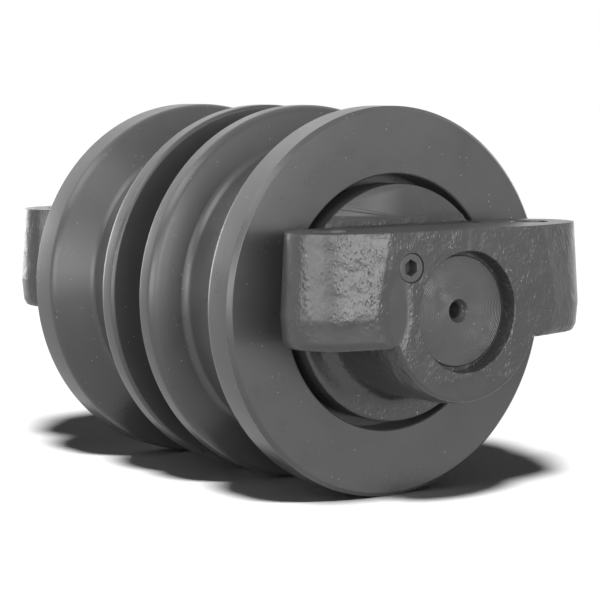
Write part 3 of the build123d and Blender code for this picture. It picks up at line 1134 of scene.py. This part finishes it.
def stripCutter(s, strip, seed):
    across = strip["across"]
    along = strip["along"]
    low = s["discFace"] - s["discMilled"] - s["holeChamfer"] / 2
    points = []
    for level in (0, 1):
        for row in range(along + 1):
            for column in range(across + 1):
                x = -s["stripHalf"] + 2 * s["stripHalf"] * column / across
                y = -(low + (s["stripLength"] + s["discMilled"]) * row / along)
                z = s["seat"] + s["spare"]
                if not level:
                    lumps = noise.noise(Vector((x, y, seed)) / strip["roughSize"])
                    z = s["seat"] - s["stripDrop"] * (strip["low"] + strip["swing"] * lumps)
                points.append((x, y, z))
    count = (across + 1) * (along + 1)
    faces = []
    for level in (0, 1):
        for row in range(along):
            for column in range(across):
                first = level * count + row * (across + 1) + column
                faces.append((first, first + 1, first + across + 2, first + across + 1))
    rim = list(range(across))
    rim += [row * (across + 1) + across for row in range(along)]
    rim += [along * (across + 1) + column for column in range(across, 0, -1)]
    rim += [row * (across + 1) for row in range(along, 0, -1)]
    for step, first in enumerate(rim):
        second = rim[(step + 1) % len(rim)]
        faces.append((first, second, second + count, first + count))
    mesh = meshOf("strip", points, faces)
    mesh.materials.append(castPaint)
    return mesh


# the shader reads how smooth the skin is from the mesh
def markCalm(mesh, s, skin):
    shares = [calmAt(s, skin, vertex.co, vertex.normal)[0] for vertex in mesh.vertices]
    calm = mesh.attributes.new("calm", "FLOAT", "POINT")
    calm.data.foreach_set("value", shares)
    return mesh


def collarMesh(s, skin, seed):
    saddle = boxMesh("saddle", (-s["saddleHalf"], -s["boltDepth"], -s["saddleDrop"]),
                     (s["saddleHalf"], -s["discFace"], s["seat"] + s["spare"]))
    raw = joined("raw", [rawBar(s), rawBoss(s), rawDisc(s), saddle])
    skinned = modified(raw, "REMESH", mode="VOXEL", voxel_size=s["voxel"], use_smooth_shade=True)
    share, rounds = s["softening"]
    skinned = modified(skinned, "SMOOTH", factor=share, iterations=rounds)
    skinned = roughened(skinned, s, skin, seed)
    skinned.materials.clear()
    skinned.materials.append(castPaint)
    above = boxMesh("above", (-s["reach"], -s["face"] - s["spare"], s["seat"]),
                    (s["reach"], -s["discFace"] + s["discMilled"], s["discRadius"] + s["spare"]))
    above.materials.append(milledPaint)
    under = -s["barDrop"] - s["spare"]
    port = holeCutter(s, s["port"], s["face"] - s["portDepth"], s["face"] + s["holeChamfer"] / 2,
                      s["portHole"], s["portChamfer"], False, turnedPaint)
    lock = holeCutter(s, s["lockPin"], -s["bossRadius"] - s["spare"], s["lockPinTop"],
                      s["lockPinHole"], 0.0, True, borePaint)
    bolts = [holeCutter(s, (side * s["boltX"], s["boltDepth"]), under, s["seat"] + s["holeChamfer"] / 2,
                        s["boltHole"], s["holeChamfer"], True, borePaint) for side in (-1, 1)]
    strip = stripCutter(s, stripSet, seed)
    cutters = [above, axialCutter(s), mouthCutter(s, seed), port, lock, *bolts, strip]
    cast = largestPiece(cutAway(skinned, cutters))
    cast = mergedAt(cast, s["discMilled"] - s["discFace"], s["flatSlack"])
    return markCalm(cast, s, skin)


nearMesh = collarMesh(collarSet, skinSet, seed=1)
nearCollar = finishPiece("nearCollar", nearMesh, fixedBody, castPaint, collarSet["sharp"])
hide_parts("near_collar")
farMesh = halfTurned(collarMesh(collarSet, skinSet, seed=2))
farCollar = finishPiece("farCollar", farMesh, fixedBody, castPaint, collarSet["sharp"])
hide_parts("far_collar")
stageNote(f"collars cast and machined, {len(nearMesh.polygons)} faces on the near one")


# Port plugs

plugLow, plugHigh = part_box("near_port_plug")
plugSet = {
    "radius": (plugHigh.x - plugLow.x) / 2,
    "face": -plugLow.y,
    "back": -plugHigh.y,
    "middle": ((plugLow.x + plugHigh.x) / 2, (plugLow.z + plugHigh.z) / 2),
    "chamfer": 0.7 * mm,
    "edge": 0.25 * mm,
    "hexHalf": 4.1 * mm,           # half the size across the flats
    "hexDepth": 7.0 * mm,
    "hexFlare": 0.45 * mm,
    "hexTurn": 4,                  # degrees, as it was left when it was tightened
    "segments": 72,
    "sharp": 35,                   # degrees
}


def hexRing(s, depth, half):
    ring = []
    reach = half / math.cos(math.pi / 6)
    for corner in range(6):
        angle = math.radians(60 * corner + 90 + s["hexTurn"])
        x, z = reach * math.cos(angle), reach * math.sin(angle)
        ring.append((s["middle"][0] + x, -depth, s["middle"][1] + z))
    return ring


def plugMesh(s):
    line = roundedLine([
        (0, s["back"]),
        (s["radius"] - s["chamfer"], s["back"]),
        (s["radius"], s["back"] + s["chamfer"]),
        (s["radius"], s["face"] - s["chamfer"], s["edge"]),
        (s["radius"] - s["chamfer"], s["face"], s["edge"]),
        (0, s["face"]),
    ])
    points, faces = turnedMesh(line, s["segments"])
    points = points + np.array([s["middle"][0], 0, s["middle"][1]])
    body = outwardNormals(meshOf("plug", points, faces))
    body.materials.append(turnedPaint)
    half, flare = s["hexHalf"], s["hexFlare"]
    socket = loftMesh("socket", [
        hexRing(s, s["face"] - s["hexDepth"], half),
        hexRing(s, s["face"] - flare, half),
        hexRing(s, s["face"] + flare, half + 2 * flare),
    ])
    socket.materials.append(borePaint)
    return cutAway(body, [socket])


nearPlug = finishPiece("nearPlug", plugMesh(plugSet), fixedBody, turnedPaint, plugSet["sharp"])
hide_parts("near_port_plug")
farPlug = finishPiece("farPlug", halfTurned(plugMesh(plugSet)), fixedBody,
                      turnedPaint, plugSet["sharp"])
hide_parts("far_port_plug")
stageNote("port plugs screwed in")


# CAD nodes that keep their own shape

carried = {
    "shaft": facedPaint,
    "bush": bronze,
    "lock_pin": groundSteel,
    "shaft_oring": rubber,
    "fixed_seal_ring": lappedIron,
    "turning_seal_ring": lappedIron,
    "fixed_toric": rubber,
    "turning_toric": rubber,
}
for nodeName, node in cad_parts.items():
    kind = nodeName.replace("near_", "").replace("far_", "")
    if kind in carried:
        node.data.materials.clear()
        node.data.materials.append(carried[kind])
stageNote("inner pieces finished")
